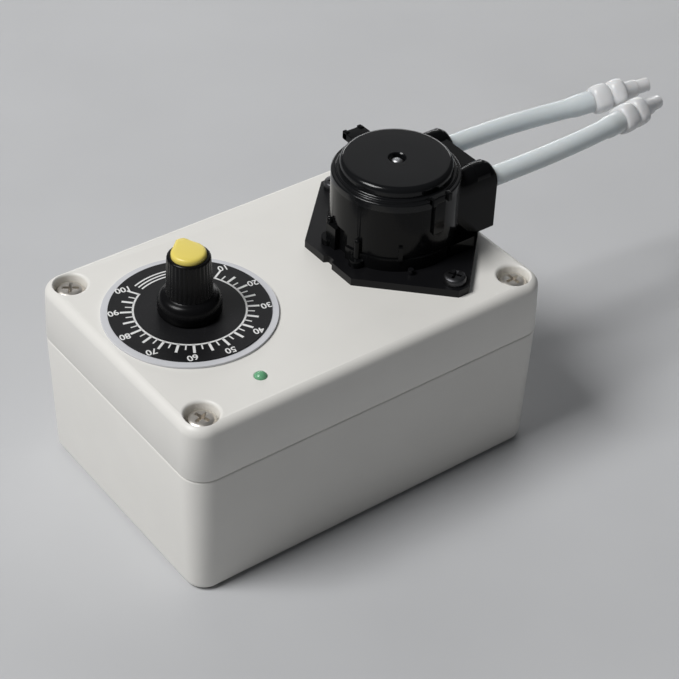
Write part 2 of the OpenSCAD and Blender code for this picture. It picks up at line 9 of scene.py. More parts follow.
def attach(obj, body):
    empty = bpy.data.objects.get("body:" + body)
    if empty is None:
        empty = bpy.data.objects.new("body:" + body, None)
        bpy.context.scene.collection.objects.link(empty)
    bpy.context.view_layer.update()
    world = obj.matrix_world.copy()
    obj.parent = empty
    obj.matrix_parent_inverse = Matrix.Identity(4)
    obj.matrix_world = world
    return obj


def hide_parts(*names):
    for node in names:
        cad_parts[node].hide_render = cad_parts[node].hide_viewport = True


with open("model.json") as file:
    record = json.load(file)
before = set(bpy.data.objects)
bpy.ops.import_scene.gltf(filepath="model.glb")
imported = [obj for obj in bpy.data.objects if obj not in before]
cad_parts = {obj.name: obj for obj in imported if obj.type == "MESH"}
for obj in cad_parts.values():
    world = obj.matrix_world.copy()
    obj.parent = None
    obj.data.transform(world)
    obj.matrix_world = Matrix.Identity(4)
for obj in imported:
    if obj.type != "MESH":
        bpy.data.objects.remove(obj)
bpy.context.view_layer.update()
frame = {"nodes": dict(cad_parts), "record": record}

# A small bench peristaltic pump. Lengths below are in millimetres unless a
# name says otherwise; MM turns them into Blender's metres.
MM = 0.001

# Enclosure: top face, joint between lid and base, outside size, wall.
LID_TOP = 49.0
SPLIT_Z = 34.5
BOX_L, BOX_W = 100.5, 68.0
CORNER_R = 6.0
WALL = 2.5
# Where the pump head, the dial and the lamp sit on the lid.
HEAD = Vector((29.0, -0.2, LID_TOP))
DIAL = Vector((-26.9, 3.1, 0.0))
LAMP = (-26.4, -24.5)
# Screws: the four of the lid, the two of the mount plate.
SCREWS = [(sx * 43.95, sy * 27.7) for sx in (-1, 1) for sy in (-1, 1)]
MOUNT_SCREWS = [(HEAD.x, HEAD.y + s * 23.55) for s in (-1, 1)]
SCREW_SEAT = 45.8
# Print on the dial: height of the dial's face, print just into it and just over it.
FACE_TOP = 49.9
PRINT_LOW, PRINT_TOP = FACE_TOP - 0.02, FACE_TOP + 0.03

# ---------------------------------------------------------------- camera


def add_camera():
    """Looks at the pump from its front left, slightly rolled; angles in radians."""
    yaw, tilt, roll = 0.66280, 0.67596, 0.04036
    spot = Vector((-212.77, -290.84, 320.35))
    ahead = Vector((math.sin(yaw) * math.cos(tilt), math.cos(yaw) * math.cos(tilt), -math.sin(tilt)))
    level = Vector((math.cos(yaw), -math.sin(yaw), 0))
    above = level.cross(ahead)
    right = level * math.cos(roll) + above * math.sin(roll)
    up = above * math.cos(roll) - level * math.sin(roll)
    data = bpy.data.cameras.new("camera")
    data.lens = 102.13
    data.sensor_width = 36.0
    data.clip_start = 0.01
    camera = bpy.data.objects.new("camera", data)
    axes = Matrix((right, up, -ahead)).transposed().to_4x4()
    camera.matrix_world = Matrix.Translation(spot * MM) @ axes
    bpy.context.scene.collection.objects.link(camera)
    bpy.context.scene.camera = camera


add_camera()

# ---------------------------------------------------------------- mesh helpers


class Form:
    """Vertices in millimetres and faces, gathered from simple generators."""

    def __init__(self):
        self.points = []
        self.faces = []

    def add(self, points, faces, place=None):
        start = len(self.points)
        place = place or Matrix.Identity(4)
        self.points += [place @ Vector(p) for p in points]
        self.faces += [[start + i for i in face] for face in faces]
        return self

    def loft(self, rings, place=None, loop=False):
        """Joins equal rings with quads. Ends are closed, or with loop the last ring joins the first."""
        n = len(rings[0])
        faces = []
        last = len(rings) if loop else len(rings) - 1
        for i in range(last):
            j = (i + 1) % len(rings)
            faces += [[i * n + k, i * n + (k + 1) % n, j * n + (k + 1) % n, j * n + k] for k in range(n)]
        if not loop:
            faces.append(list(range(n))[::-1])
            faces.append([(len(rings) - 1) * n + k for k in range(n)])
        return self.add([p for ring in rings for p in ring], faces, place)

    def lathe(self, profile, place=None, n=96, loop=False, wave=None):
        """Turns a profile of (radius, height) about Z; wave(angle, radius, height) gives a new radius."""
        points, faces, rows = [], [], []
        for r, z in profile:
            if r < 1e-6:
                rows.append([len(points)] * n)
                points.append((0, 0, z))
                continue
            rows.append(list(range(len(points), len(points) + n)))
            for k in range(n):
                a = 2 * math.pi * k / n
                q = wave(a, r, z) if wave else r
                points.append((q * math.cos(a), q * math.sin(a), z))
        pairs = list(zip(rows, rows[1:] + ([rows[0]] if loop else [])))
        for low, high in pairs:
            for k in range(n):
                face = [low[k], low[(k + 1) % n], high[(k + 1) % n], high[k]]
                face = [v for i, v in enumerate(face) if v not in face[:i]]
                if len(face) > 2:
                    faces.append(face)
        return self.add(points, faces, place)

    def prism(self, outline, z0, z1, place=None, edge=0.0, low_edge=0.0):
        """Upright prism of a convex-ish outline; edge rounds its top rim, low_edge its bottom rim."""
        steps = 4
        rings = []
        for i in range(steps + 1) if low_edge else [steps]:
            a = math.pi / 2 * i / steps
            rings.append((low_edge * (1 - math.sin(a)), z0 + low_edge * (1 - math.cos(a))))
        for i in range(steps + 1) if edge else [0]:
            a = math.pi / 2 * i / steps
            rings.append((edge * (1 - math.cos(a)), z1 - edge * (1 - math.sin(a))))
        return self.loft([[(x, y, z) for x, y in inset(outline, d)] for d, z in rings], place)

    def block(self, low, high, place=None, edge=0.25):
        """Box between two corners, its top and bottom rims rounded by edge."""
        outline = [(low[0], low[1]), (high[0], low[1]), (high[0], high[1]), (low[0], high[1])]
        return self.prism(outline, low[2], high[2], place, edge, edge)


def inset(outline, d):
    """Moves each side of a closed anticlockwise outline inwards by d."""
    if d < 1e-9:
        return list(outline)
    n = len(outline)
    moved = []
    for i in range(n):
        p, q, s = Vector(outline[i - 1]), Vector(outline[i]), Vector(outline[(i + 1) % n])
        a, b = (q - p).normalized(), (s - q).normalized()
        na, nb = Vector((-a.y, a.x)), Vector((-b.y, b.x))
        m = na + nb
        moved.append(tuple(q + m * (d / max(0.3, m.dot(na)))))
    return moved


def round_rect(l, w, r, n=10):
    """Anticlockwise outline of a rounded rectangle about the origin."""
    points = []
    for sx, sy, start in ((1, 1, 0), (-1, 1, 90), (-1, -1, 180), (1, -1, 270)):
        for i in range(n + 1):
            a = math.radians(start + 90 * i / n)
            points.append((sx * (l / 2 - r) + r * math.cos(a), sy * (w / 2 - r) + r * math.sin(a)))
    return points


def arc(cx, cz, r, a0, a1, n=8):
    """Profile points on an arc, angles in degrees from the radius axis."""
    return [(cx + r * math.cos(math.radians(a0 + (a1 - a0) * i / n)),
             cz + r * math.sin(math.radians(a0 + (a1 - a0) * i / n))) for i in range(n + 1)]


def mesh_of(form, name):
    """The form as a Blender mesh in metres, its faces turned outwards."""
    mesh = bpy.data.meshes.new(name)
    mesh.from_pydata([tuple(p * MM) for p in form.points], [], form.faces)
    bm = bmesh.new()
    bm.from_mesh(mesh)
    bmesh.ops.recalc_face_normals(bm, faces=bm.faces)
    bm.to_mesh(mesh)
    bm.free()
    return mesh


def smooth(mesh, degrees):
    """Smooth shading, kept sharp where faces meet at more than degrees."""
    for polygon in mesh.polygons:
        polygon.use_smooth = True
    mesh.set_sharp_from_angle(angle=math.radians(degrees))


def place_in_scene(name, mesh):
    obj = bpy.data.objects.new(name, mesh)
    bpy.context.scene.collection.objects.link(obj)
    return obj


def baked(obj):
    """A mesh of the object as evaluated, modifiers and curves included."""
    bpy.context.view_layer.update()
    return bpy.data.meshes.new_from_object(obj.evaluated_get(bpy.context.evaluated_depsgraph_get()))


def combine(obj, form, operation):
    """Boolean of obj with a form, applied to obj's mesh at once."""
    tool = place_in_scene("tool", mesh_of(form, "tool"))
    step = obj.modifiers.new("step", "BOOLEAN")
    step.operation = operation
    step.solver = "EXACT"
    step.object = tool
    done = baked(obj)
    obj.modifiers.clear()
    obj.data = done
    bpy.data.objects.remove(tool)


def piece(name, form, look, body="housing", replaces=(), angle=40, steps=()):
    """Makes a piece from a form: booleans in steps, then shading, material and body."""
    obj = place_in_scene(name, mesh_of(form, name))
    for operation, other in steps:
        combine(obj, other, operation)
    obj.data.name = name
    smooth(obj.data, angle)
    obj.data.materials.clear()
    obj.data.materials.append(MATERIALS[look])
    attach(obj, body)
    if replaces:
        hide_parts(*replaces)
    return obj


def soften(obj, width):
    """Small rounded edges, width in millimetres, with shading that keeps flat faces flat."""
    bevel = obj.modifiers.new("edges", "BEVEL")
    bevel.width = width * MM
    bevel.segments = 2
    bevel.limit_method = "ANGLE"
    bevel.angle_limit = math.radians(34)
    bevel.use_clamp_overlap = True
    bevel.harden_normals = False
    normals = obj.modifiers.new("normals", "WEIGHTED_NORMAL")
    normals.keep_sharp = True
    normals.weight = 60


def shift(x=0, y=0, z=0):
    return Matrix.Translation(Vector((x, y, z)))


def turn(degrees, axis="Z"):
    return Matrix.Rotation(math.radians(degrees), 4, axis)


AT_HEAD = Matrix.Translation(HEAD)
AT_DIAL = Matrix.Translation(DIAL)

# ---------------------------------------------------------------- materials


class Surface:
    """A Principled material with its own procedural colour, roughness and relief."""

    def __init__(self, name, rough=0.4, metallic=0.0, **sockets):
        self.material = bpy.data.materials.new(name)
        self.material.use_nodes = True
        self.tree = self.material.node_tree
        self.shader = self.tree.nodes["Principled BSDF"]
        self.set("Roughness", rough)
        self.set("Metallic", metallic)
        for key, value in sockets.items():
            self.set(key.replace("_", " "), value)
        self.where = self.tree.nodes.new("ShaderNodeTexCoord").outputs["Object"]

    def set(self, socket, value):
        self.shader.inputs[socket].default_value = value

    def link(self, source, target):
        self.tree.links.new(source, target)

    def noise(self, size, detail, stretch=None, roughness=0.5):
        """Noise whose features are about size millimetres."""
        node = self.tree.nodes.new("ShaderNodeTexNoise")
        node.inputs["Scale"].default_value = 1.0 / (size * MM)
        node.inputs["Detail"].default_value = detail
        node.inputs["Roughness"].default_value = roughness
        source = self.where
        if stretch:
            mapping = self.tree.nodes.new("ShaderNodeMapping")
            mapping.inputs["Scale"].default_value = stretch
            self.link(source, mapping.inputs["Vector"])
            source = mapping.outputs["Vector"]
        self.link(source, node.inputs["Vector"])
        return node.outputs["Fac"]

    def colours(self, source, *stops):
        """Base colour from source through stops of (position, colour)."""
        node = self.tree.nodes.new("ShaderNodeValToRGB")
        elements = node.color_ramp.elements
        while len(elements) < len(stops):
            elements.new(0.5)
        for element, (at, colour) in zip(elements, stops):
            element.position = at
            element.color = (*colour, 1)
        self.link(source, node.inputs["Fac"])
        self.link(node.outputs["Color"], self.shader.inputs["Base Color"])

    def roughness(self, source, low, high):
        node = self.tree.nodes.new("ShaderNodeMapRange")
        node.inputs["To Min"].default_value = low
        node.inputs["To Max"].default_value = high
        self.link(source, node.inputs["Value"])
        self.link(node.outputs["Result"], self.shader.inputs["Roughness"])

    def relief(self, source, depth, strength):
        """Bumps of the given depth in millimetres."""
        node = self.tree.nodes.new("ShaderNodeBump")
        node.inputs["Strength"].default_value = strength
        node.inputs["Distance"].default_value = depth * MM
        self.link(source, node.inputs["Height"])
        self.link(node.outputs["Normal"], self.shader.inputs["Normal"])


def plastic(name, colour, rough, spread=0.04, grain=0.35, depth=0.01, tone=0.04, **sockets):
    """Moulded plastic: slight tone drift, uneven gloss and a fine moulded grain."""
    s = Surface(name, rough, **sockets)
    dark = tuple(c * (1 - tone) for c in colour)
    light = tuple(min(1, c * (1 + tone)) for c in colour)
    s.colours(s.noise(14, 4), (0.3, dark), (0.7, light))
    s.roughness(s.noise(2.2, 5), rough - spread, rough + spread)
    s.relief(s.noise(grain, 4), depth, 0.35)
    return s.material


def metal(name, colour, rough, stretch=None, tone=0.12, size=0.6, depth=0.004, **sockets):
    """Bare or plated metal: machining or plating streaks in tone and gloss."""
    s = Surface(name, rough, 1.0, **sockets)
    dark = tuple(c * (1 - tone) for c in colour)
    streak = s.noise(size, 5, stretch)
    s.colours(streak, (0.3, dark), (0.7, colour))
    s.roughness(s.noise(size * 2, 4, stretch), max(0.05, rough - 0.08), rough + 0.1)
    s.relief(streak, depth, 0.3)
    return s.material


def printed_black():
    """Satin black print with the faint pale flecks of dust and pinholes."""
    s = Surface("printed_black", 0.42, Specular_IOR_Level=0.2)
    s.colours(s.noise(0.45, 6, roughness=0.7), (0.0, (0.006, 0.006, 0.007)),
              (0.62, (0.011, 0.011, 0.012)), (0.8, (0.09, 0.09, 0.095)))
    s.roughness(s.noise(3, 4), 0.34, 0.5)
    s.relief(s.noise(0.3, 4), 0.008, 0.4)
    return s.material


def translucent(name, colour, rough, clear, milk, ior):
    """Milky see-through plastic or silicone."""
    s = Surface(name, rough, IOR=ior, Transmission_Weight=clear, Subsurface_Weight=milk,
                Subsurface_Scale=1.2 * MM)
    s.set("Subsurface Radius", (0.9, 0.95, 1.0))
    low = tuple(c * 0.97 for c in colour)
    s.colours(s.noise(6, 3), (0.3, low), (0.7, colour))
    s.roughness(s.noise(3, 3), max(0.05, rough - 0.04), rough + 0.04)
    return s.material


def board():
    """Solder mask over faint copper tracks."""
    s = Surface("board_green", 0.35)
    node = s.tree.nodes.new("ShaderNodeTexBrick")
    node.inputs["Scale"].default_value = 90
    node.inputs["Color1"].default_value = (0.02, 0.20, 0.09, 1)
    node.inputs["Color2"].default_value = (0.03, 0.26, 0.12, 1)
    node.inputs["Mortar"].default_value = (0.01, 0.13, 0.06, 1)
    s.link(s.where, node.inputs["Vector"])
    s.link(node.outputs["Color"], s.shader.inputs["Base Color"])
    s.relief(node.outputs["Fac"], 0.03, 0.4)
    return s.material


MATERIALS = {
    "box_plastic": plastic("box_plastic", (0.80, 0.785, 0.745), 0.42, grain=0.5, depth=0.012, tone=0.015),
    "seal_rubber": plastic("seal_rubber", (0.03, 0.03, 0.03), 0.75),
    "nickel_steel": metal("nickel_steel", (0.80, 0.76, 0.70), 0.38),
    "clear_plastic": plastic("clear_plastic", (0.645, 0.65, 0.675), 0.2, spread=0.05, grain=2, depth=0.003),
    "printed_black": printed_black(),
    "print_white": plastic("print_white", (0.80, 0.80, 0.79), 0.5, grain=0.2, depth=0.004),
    "knob_black": plastic("knob_black", (0.005, 0.005, 0.0055), 0.26, depth=0.003,
                          Specular_IOR_Level=0.15),
    "knob_yellow": plastic("knob_yellow", (0.86, 0.70, 0.15), 0.38, grain=0.3, tone=0.03),
    "brass": metal("brass", (0.78, 0.55, 0.24), 0.3),
    "plated_steel": metal("plated_steel", (0.60, 0.61, 0.62), 0.3),
    "carbon": plastic("carbon", (0.02, 0.02, 0.02), 0.7),
    "tinned_brass": metal("tinned_brass", (0.72, 0.69, 0.6), 0.32),
    "led_green": translucent("led_green", (0.24, 0.60, 0.34), 0.22, 0.3, 0.5, 1.5),
    "board_green": board(),
    "component_sleeve": plastic("component_sleeve", (0.02, 0.03, 0.12), 0.3),
    "component_black": plastic("component_black", (0.018, 0.018, 0.018), 0.5),
    "terminal_green": plastic("terminal_green", (0.02, 0.22, 0.09), 0.42),
    "head_black": plastic("head_black", (0.0075, 0.0078, 0.0085), 0.16, spread=0.04, grain=1.2, depth=0.004,
                          Specular_IOR_Level=0.25),
    # Painted shade: a darker, less glossy copy of head_black for the pump body, its clips and port fairings,
    # so these read darker than the cap.
    "shaded_body_black": plastic("shaded_body_black", (0.0045, 0.0047, 0.005), 0.15, spread=0.05, grain=1.2, depth=0.004,
                          Specular_IOR_Level=0.13),
    "plate_black": plastic("plate_black", (0.006, 0.006, 0.0068), 0.34, grain=0.5, depth=0.01,
                           Specular_IOR_Level=0.2),
    "magnet_ceramic": plastic("magnet_ceramic", (0.05, 0.05, 0.055), 0.6, depth=0.03),
    "bronze": metal("bronze", (0.62, 0.42, 0.2), 0.42),
    "ground_steel": metal("ground_steel", (0.72, 0.72, 0.72), 0.2, stretch=(1, 1, 0.1)),
    "shaft_end": metal("shaft_end", (0.85, 0.86, 0.88), 0.45, size=0.25, tone=0.5, depth=0.05),
    "armature_steel": metal("armature_steel", (0.42, 0.26, 0.17), 0.42, stretch=(0.15, 0.15, 3.0)),
    "copper": metal("copper", (0.80, 0.42, 0.24), 0.28),
    "dark_steel": metal("dark_steel", (0.085, 0.085, 0.09), 0.42),
    "carrier_white": plastic("carrier_white", (0.72, 0.72, 0.69), 0.4),
    "roller_white": plastic("roller_white", (0.78, 0.78, 0.76), 0.34),
    "silicone": translucent("silicone", (0.86, 0.93, 1.0), 0.14, 0.2, 0.9, 1.41),
    "connector_clear": translucent("connector_clear", (0.96, 0.965, 0.98), 0.24, 0.2, 0.8, 1.49),
}

# ---------------------------------------------------------------- free tubes

TUBE_OD, TUBE_ID = 5.0, 3.0
# Length of tube stretched over a connector's barb.
BARB = 6.2
ROUTES = {
    "inlet": [(51, -8.4, 63), (60, -8.9, 63.3), (70, -9.4, 63.7), (80, -9.5, 64.1),
              (87.4, -9.1, 64.2), (93.4, -8.2, 63.9)],
    "outlet": [(51, 8, 63), (60, 7.9, 62.8), (70, 7.4, 62.7), (80, 6.3, 62.6),
               (88.4, 4.5, 63), (94.4, 3, 63.7)],
}


def curve_through(points, each=6):
    """A smooth curve through the points, each stretch cut into equal steps."""
    p = [Vector(q) for q in points]
    p = [2 * p[0] - p[1]] + p + [2 * p[-1] - p[-2]]
    line = []
    for i in range(1, len(p) - 2):
        a, b, c, d = p[i - 1:i + 3]
        for k in range(each):
            t = k / each
            line.append(0.5 * (2 * b + (c - a) * t + (2 * a - 5 * b + 4 * c - d) * t * t
                               + (3 * b - a - 3 * c + d) * t ** 3))
    return line + [p[-2]]


def ring_about(centre, ahead, radius, n=40):
    """Circle of n points square to the direction ahead."""
    side = Vector((0, 0, 1)).cross(ahead).normalized()
    up = ahead.cross(side)
    angles = [2 * math.pi * k / n for k in range(n)]
    return [centre + radius * (math.cos(a) * side + math.sin(a) * up) for a in angles]


def hose(line):
    """Hollow tube along a line, stretched over the barb at its far end."""
    outer_swell, inner_swell, ease_in, run = 0.32, 0.42, 0.6, 2.4
    along = [0.0]
    for a, b in zip(line, line[1:]):
        along.append(along[-1] + (b - a).length)
    outer, inner = [], []
    for i, centre in enumerate(line):
        ahead = (line[min(i + 1, len(line) - 1)] - line[max(i - 1, 0)]).normalized()
        over = max(0.0, min(1.0, (along[i] - along[-1] + BARB + ease_in) / run))
        over = over * over * (3 - 2 * over)
        outer.append(ring_about(centre, ahead, TUBE_OD / 2 + outer_swell * over))
        inner.append(ring_about(centre, ahead, TUBE_ID / 2 + inner_swell * over))
    return Form().loft(outer + inner[::-1], loop=True)


def connector(place):
    """Barbed tube connector along +Z: barb, two rounded collars with grip flats, stepped nozzle."""
    neck, collar_low, collar_rise, power = 2.6, 2.75, 1.35, 2.3
    barb = [(1.0, -6.0), (1.55, -6.0), (1.88, -5.1), (1.85, -4.9), (1.55, -4.4), (1.55, -0.02)]
    collars = []
    for middle, half in ((2.45, 2.35), (7.05, 2.0)):
        for k in range(-9, 10):
            t = math.sin(math.pi / 2 * k / 9.5)
            rise = collar_rise * (1 - abs(t) ** power) ** (1 / power)
            collars.append((collar_low + rise, middle + half * t))
    nozzle = [(neck, 9.15), (2.42, 9.4), (2.2, 12.5), (2.15, 12.65), (1.84, 12.95), (1.8, 13.1),
              (1.8, 15.9), (1.72, 16.12), (1.55, 16.2), (1.1, 16.2), (1.0, 16.1)]

    def grips(a, r, z):
        return r * (1 - 0.07 * (r - neck) * (0.5 - 0.5 * math.cos(4 * a))) if r > neck else r

    return Form().lathe(barb + [(neck, 0.0)] + collars + nozzle, place, n=72, loop=True, wave=grips)


def add_tubes():
    for name, route in ROUTES.items():
        line = curve_through(route)
        straight = (Vector(route[-1]) - Vector(route[-2])).normalized()
        place = Matrix.Translation(line[-1]) @ straight.to_track_quat("Z", "Y").to_matrix().to_4x4()
        plug = piece(f"{name}_connector_moulded", connector(place), "connector_clear",
                     replaces=[f"{name}_connector"])
        tube = piece(f"{name}_tube_soft", hose(line), "silicone",
                     replaces=[f"{name}_tube"], angle=50)


add_tubes()

# ---------------------------------------------------------------- enclosure

POST_R = 4.5
PCB_HOLES = [(-17 + sx * 22, sy * 17) for sx in (-1, 1) for sy in (-1, 1)]
JACK = (-20, 29, 17)


def outline_at(d, z):
    """The enclosure's outline at height z, moved inwards by d."""
    return [(x, y, z) for x, y in round_rect(BOX_L - 2 * d, BOX_W - 2 * d, CORNER_R - d)]


def column(form, x, y, profile, n=64):
    """Upright solid of a (radius, height) profile at x, y: a post, or the tool for a hole."""
    return form.lathe([(0, profile[0][1])] + profile + [(0, profile[-1][1])], shift(x, y), n=n)


def add_lid():
    """Lid: leaning walls, rounded top edge, screw posts with flared counterbores, and the holes."""
    lean, rim = 0.4, 2.5
    inside_top = LID_TOP - WALL
    rings = [outline_at(d, SPLIT_Z + z) for d, z in ((0.42, 0), (0.22, 0.03), (0.06, 0.12), (0.0, 0.26))]
    for i in range(9):
        a = math.pi / 2 * i / 8
        rings.append(outline_at(lean + rim * (1 - math.cos(a)), LID_TOP - rim + rim * math.sin(a)))
    cavity = Form().loft([outline_at(WALL + 0.1, SPLIT_Z - 1), outline_at(WALL + 0.3, inside_top)])
    below, above = inside_top - 1.5, LID_TOP + 1
    shank_r, bore_r, flare_r = 2.2, 3.9, 0.8
    motor_hole_r, pot_hole_r, mount_hole_r, lamp_r, lamp_mouth_r = 14.3, 3.6, 1.7, 1.53, 1.75
    flare = arc(bore_r + flare_r, LID_TOP - flare_r, flare_r, 180, 92, 7)
    counterbore = [(shank_r, SPLIT_Z - 1), (shank_r, SCREW_SEAT), (bore_r, SCREW_SEAT)] + flare
    counterbore.append((bore_r + flare_r + 0.02, above))
    posts, holes = Form(), Form()
    for x, y in SCREWS:
        column(posts, x, y, [(POST_R, SPLIT_Z), (POST_R, inside_top + 0.5)])
        column(holes, x, y, counterbore)
    column(holes, HEAD.x, HEAD.y, [(motor_hole_r, below), (motor_hole_r, above)], 96)
    column(holes, DIAL.x, DIAL.y, [(pot_hole_r, below), (pot_hole_r, above)])
    column(holes, *LAMP, [(lamp_r, below), (lamp_r, LID_TOP - 0.15),
                          (lamp_mouth_r, LID_TOP + 0.05), (lamp_mouth_r, above)], 40)
    for x, y in MOUNT_SCREWS:
        column(holes, x, y, [(mount_hole_r, below), (mount_hole_r, above)], 32)
    piece("lid_moulded", Form().loft(rings), "box_plastic", replaces=["enclosure_lid"],
          angle=28, steps=[("DIFFERENCE", cavity), ("UNION", posts), ("DIFFERENCE", holes)])


def add_base():
    """Base: leaning walls, rounded foot and joint, screw and board posts, seal groove, jack hole."""
    step, lean, foot = 0.08, 0.87, 2.0
    post_foot = 1.2
    pilot_r, pilot_low = 1.6, 20.5
    board_post_r, board_pilot_r = 3, 1
    jack_r, jack_depth = 5.6, 8
    rings = []
    for i in range(7):
        a = math.pi / 2 * i / 6
        rings.append(outline_at(step + lean + foot * (1 - math.sin(a)), foot * (1 - math.cos(a))))
    rings += [outline_at(step + d, SPLIT_Z - z)
              for d, z in ((0, 0.62), (0.02, 0.5), (0.09, 0.32), (0.2, 0.17), (0.34, 0.08), (0.5, 0.05))]
    cavity = Form().loft([outline_at(WALL + 1.1, WALL), outline_at(WALL + 0.25, SPLIT_Z + 1)])
    posts, holes = Form(), Form()
    for x, y in SCREWS:
        column(posts, x, y, [(POST_R, post_foot), (POST_R, SPLIT_Z)])
        column(holes, x, y, [(pilot_r, pilot_low), (pilot_r, SPLIT_Z + 1)], 32)
    for x, y in PCB_HOLES:
        column(posts, x, y, [(board_post_r, post_foot), (board_post_r, 7.5)], 32)
        column(holes, x, y, [(board_pilot_r, 3.4), (board_pilot_r, 8.5)], 24)
    near, far, low, high = 0.9, 2.1, SPLIT_Z - 1, SPLIT_Z + 1
    groove = Form().loft([outline_at(d, z) for d, z in ((near, low), (near, high), (far, high), (far, low))],
                         loop=True)
    jack = Form().lathe([(0, 0), (jack_r, 0), (jack_r, jack_depth), (0, jack_depth)],
                        shift(*JACK) @ turn(-90, "X"), 48)
    piece("base_moulded", Form().loft(rings), "box_plastic", replaces=["enclosure_base"],
          angle=28, steps=[("DIFFERENCE", cavity), ("UNION", posts), ("DIFFERENCE", holes),
                           ("DIFFERENCE", groove), ("DIFFERENCE", jack)])


add_lid()
add_base()

# ---------------------------------------------------------------- screws


def recess_slot(form, radius, depth, z, place):
    """One of the two tapered slots of a cross recess, cut down from height z."""
    wide, half = radius * 0.62, radius * 0.13
    rings = []
    for k, level in ((1.25, z + 0.6), (1.0, z), (0.45, z - depth)):
        w, h = wide * k, half * (1 + k) / 2
        rings.append([(-w, -h, level), (w, -h, level), (w, h, level), (-w, h, level)])
    form.loft(rings, place)


def add_screws(name, spots, seat, head_r, head_t, shank, look, spin):
    """Pan-head cross-recess screws; shank is a list of (radius, height above the seat)."""
    places = [shift(x, y, seat) @ turn(spin + 37 * i) for i, (x, y) in enumerate(spots)]
    rim_r, rim = head_r - 0.08, 0.55 * head_t + 0.25
    profile = [(0, shank[-1][1])] + shank[::-1]
    profile += [(head_r * 0.97, 0.0), (head_r, 0.12), (head_r, rim - 0.25), (rim_r, rim)]
    profile += [(rim_r * math.cos(a) ** 0.5, rim + (head_t - rim) * math.sin(a))
                for a in (math.radians(k) for k in (20, 38, 54, 68, 80))] + [(0, head_t)]
    whole, across, along = Form(), Form(), Form()
    for place in places:
        whole.lathe(profile, place, n=48)
        recess_slot(across, head_r, head_t * 0.75, head_t * 0.97, place)
        recess_slot(along, head_r, head_t * 0.75, head_t * 0.97, place @ turn(90))
    piece(f"{name}_pan", whole, look, replaces=[name], angle=30,
          steps=[("DIFFERENCE", across), ("DIFFERENCE", along)])


add_screws("lid_screws", SCREWS, SCREW_SEAT, 3.2, 2.1,
           [(1.95, 0), (1.95, -11.2), (1.6, -11.4), (1.6, -24)], "nickel_steel", 18)
add_screws("mount_screws", MOUNT_SCREWS, 51, 2.7, 2.0, [(1.5, 0), (1.5, -7.9)], "dark_steel", 30)

# ---------------------------------------------------------------- dial

LOWEST, HIGHEST = 10, 100
LOWEST_ANGLE, DEGREES_EACH = 30.7, 3.0


def dial_angle(value):
    """Direction of a dial value, in degrees from +X."""
    return LOWEST_ANGLE - DEGREES_EACH * (value - LOWEST)


def flat_band(form, r0, r1, a0, a1):
    """A thin printed arc between two radii and two angles."""
    n = max(1, int(abs(a1 - a0) / 3))
    rows = []
    for i in range(n + 1):
        a = math.radians(a0 + (a1 - a0) * i / n)
        c, s = math.cos(a), math.sin(a)
        rows.append([(r * c, r * s, z) for r, z in ((r0, PRINT_LOW), (r1, PRINT_LOW),
                                                    (r1, PRINT_TOP), (r0, PRINT_TOP))])
    form.loft(rows, AT_DIAL)


def add_dial_marks():
    """The scale's arc, its ticks, and the three arcs over the part of the dial with no values."""
    form = Form()
    flat_band(form, 12.75, 13.2, dial_angle(HIGHEST) - 0.9, dial_angle(LOWEST) + 0.9)
    for step in range(37):
        value = LOWEST + 2.5 * step
        if value in (LOWEST, HIGHEST):
            reach, width = 16.1, 0.5
        elif step % 2 == 0:
            reach, width = 15.9, 0.62
        else:
            reach, width = 14.8, 0.34
        form.block((13.0, -width / 2, PRINT_LOW), (reach, width / 2, PRINT_TOP),
                   AT_DIAL @ turn(dial_angle(value)), edge=0.0)
    for radius in (13.5, 14.5, 15.5):
        flat_band(form, radius - 0.2, radius + 0.2, 44, 111.7)
    piece("dial_marks", form, "print_white", angle=32)


def add_dial_number(value):
    """One number of the scale, upright for a reader on the +Y side."""
    reading = 168.0
    lean = {40: 1.5, 50: 2.6, 60: 1.8, 70: 3.0}.get(value, 0)
    r = 17.45 if value < HIGHEST else 17.2
    a = math.radians(dial_angle(value) - lean)
    spot = Vector((DIAL.x + r * math.cos(a), DIAL.y + r * math.sin(a), FACE_TOP + 0.012))
    data = bpy.data.curves.new(f"dial_number_{value}", "FONT")
    data.body = str(value)
    data.size = 2.62 * MM
    data.align_x = "CENTER"
    data.align_y = "CENTER"
    data.extrude = 0.02 * MM
    data.offset = 0.045 * MM
    label = place_in_scene(f"dial_number_{value}", data)
    label.matrix_world = Matrix.Translation(spot * MM) @ turn(reading)
    mesh = baked(label)
    mesh.transform(label.matrix_world)
    bpy.data.objects.remove(label)
    solid = place_in_scene(f"dial_number_{value}", mesh)
    mesh.materials.clear()
    mesh.materials.append(MATERIALS["print_white"])
    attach(solid, "housing")


add_dial_marks()
for marked in range(LOWEST, HIGHEST + 1, 10):
    add_dial_number(marked)

# ---------------------------------------------------------------- knob

KNOB_Z = 50.3
# Where the black body ends and the yellow cap begins.
BODY_TOP = 65.2


